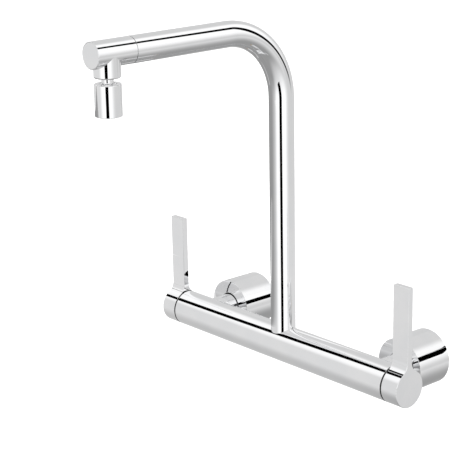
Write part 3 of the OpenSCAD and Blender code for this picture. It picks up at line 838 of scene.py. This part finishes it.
def make_card(name, corners, light, cover=None):
    """One-sided studio card that only reflections see. Its front is the side where the corners run
    anticlockwise. light is its brightness, or makes it from the card's nodes, and cover makes the
    amount of the card that is there."""
    material = bpy.data.materials.new(name)
    material.use_nodes = True
    tree = material.node_tree
    tree.nodes.clear()
    nodes = Nodes(tree)
    glow = tree.nodes.new("ShaderNodeEmission")
    if callable(light):
        tree.links.new(light(nodes), glow.inputs["Strength"])
    else:
        glow.inputs["Strength"].default_value = light
    clear = tree.nodes.new("ShaderNodeBsdfTransparent")
    mix = tree.nodes.new("ShaderNodeMixShader")
    out = tree.nodes.new("ShaderNodeOutputMaterial")
    front = nodes.math("SUBTRACT", 1.0, tree.nodes.new("ShaderNodeNewGeometry").outputs["Backfacing"])
    tree.links.new(nodes.math("MULTIPLY", front, cover(nodes)) if cover else front, mix.inputs[0])
    tree.links.new(clear.outputs[0], mix.inputs[1])
    tree.links.new(glow.outputs[0], mix.inputs[2])
    tree.links.new(mix.outputs[0], out.inputs["Surface"])
    card = stage_mesh(name, corners, material)
    card.visible_camera = False
    card.visible_diffuse = False
    card.visible_transmission = False
    card.visible_shadow = False


def make_front_bar():
    """Dark gap between the two front softboxes, in line with the riser and the aerator."""
    middle, half = Vector((0.735, -0.964, 0)), 0.230
    across = Vector((0.779, 0.627, 0)) * half
    low, high = Z * -0.60, Z * 0.15
    make_card("front_gap", [middle - across + low, middle - across + high, middle + across + high,
                            middle + across + low], 0.0)


def make_shade():
    """Grey card level with the body's top. Only the spout's left side looks down on it."""
    def cover(nodes):
        x, y, z = nodes.axes("Object")
        from_riser = nodes.math("SUBTRACT", y, AXIS.y)
        bearing = nodes.bearing(x, from_riser)
        sector = nodes.math("MULTIPLY", nodes.ramp(bearing, 8, -58), nodes.ramp(bearing, -132, -112))
        along = nodes.total(nodes.math("MULTIPLY", nodes.math("ADD", x, 0.132), -0.742),
                            nodes.math("MULTIPLY", nodes.math("ADD", y, 0.067), -0.601))
        across = nodes.math("ABSOLUTE", nodes.total(
            nodes.math("MULTIPLY", nodes.math("ADD", x, 0.132), 0.601),
            nodes.math("MULTIPLY", nodes.math("ADD", y, 0.067), -0.742)))
        lane = nodes.product(nodes.ramp(across, 0.024, 0.016), nodes.ramp(along, 0.29, 0.26))
        return nodes.math("MULTIPLY", sector, nodes.math("SUBTRACT", 1.0, lane))

    height = BODY_R + 0.001
    corners = [(-0.98, -0.95, height), (0.3, -0.95, height), (0.3, 0.5, height), (-0.98, 0.5, height)]
    make_card("shade", corners, 0.33, cover)


def make_flange_cards():
    """Over each wall flange, a black card that gives its dark band and a grey one that hides the
    gap behind. near and far are places of the card's two edges, from the flange's centre."""
    def card(name, side, near, far, light):
        front, back = Y * -0.070, Y * 0.006
        centre = X * side * INLET_X
        low, high = centre + Vector(near), centre + Vector(far)
        make_card(name, [low + front, low + back, high + back, high + front], light)

    card("dark_right", 1, (0.0374, 0.018, 0.025), (0.0816, 0.051, 0.025), 0.0)
    card("dark_left", -1, (0.0300, 0.008, 0.0125), (0.1000, 0.055, 0.0125), 0.0)
    for name, side in SIDES.items():
        def rising(nodes, side=side):
            out = nodes.math("SUBTRACT", nodes.axes("Object")[0], side * INLET_X)
            return nodes.ramp(out, 0.018, 0.050, 0.73, 1.08)

        card(f"pale_{name}", side, (-0.035, 0.045, 0.060), (0.081, 0.066, 0.060), rising)


def make_blend_card():
    """Keeps the top gap out of the left lever's concave blend, which would mirror it again."""
    middle = Vector((-0.5 * (CAP_START + CAP_END) - 0.0295, AXIS.y - 0.0184, 0.0383))
    half, across = X * 0.009, Vector((0, 0.875, 0.485))
    low, high = middle - across * 0.003, middle + across * 0.006
    make_card("pale_blend", [low + half, low - half, high - half, high + half], 1.05)


def make_floor():
    paint = Paint("floor", roughness=0.9, specular_ior_level=0.0)
    speckle = paint.noise(3.0)
    paint.set("Base Color", paint.mix(paint.between(speckle, 0, 1), (0.90, 0.90, 0.90), (0.92, 0.92, 0.92)))
    size = 30
    floor = stage_mesh("floor", [(-size, -size, FLOOR_Z), (size, -size, FLOOR_Z), (size, size, FLOOR_Z),
                                 (-size, size, FLOOR_Z)], paint.material)
    floor.visible_glossy = False


def make_light():
    """Very wide soft light from above, for the floor and the parts that aren't polished."""
    lamp = bpy.data.lights.new("soft_top", "SUN")
    lamp.angle = math.radians(100)
    lamp.energy = 2.6
    made = bpy.data.objects.new("soft_top", lamp)
    made.rotation_euler = (math.radians(12), math.radians(10), 0)
    made.visible_glossy = False
    bpy.context.scene.collection.objects.link(made)


def make_camera():
    azimuth, elevation, roll = (math.radians(a) for a in (48.896, 16.569, -1.0487))
    target, distance = Vector((-0.027175, -0.095647, 0.096874)), 1.23994
    back = Vector((math.sin(azimuth) * math.cos(elevation), -math.cos(azimuth) * math.cos(elevation),
                   math.sin(elevation)))
    camera = bpy.data.cameras.new("camera")
    camera.lens = 119.013
    camera.sensor_width = 36.0
    made = bpy.data.objects.new("camera", camera)
    bpy.context.scene.collection.objects.link(made)
    level = back.to_track_quat("Z", "Y").to_matrix()
    made.matrix_world = Matrix.Translation(target + back * distance) @ (
        level @ Matrix.Rotation(roll, 3, "Z")).to_4x4()
    bpy.context.scene.camera = made


paint_cad_nodes()
make_pieces()
make_floor()
make_light()
make_world()
make_front_bar()
make_shade()
make_flange_cards()
make_blend_card()
make_camera()
bpy.context.scene.view_settings.view_transform = "Standard"

bpy.context.view_layer.update()
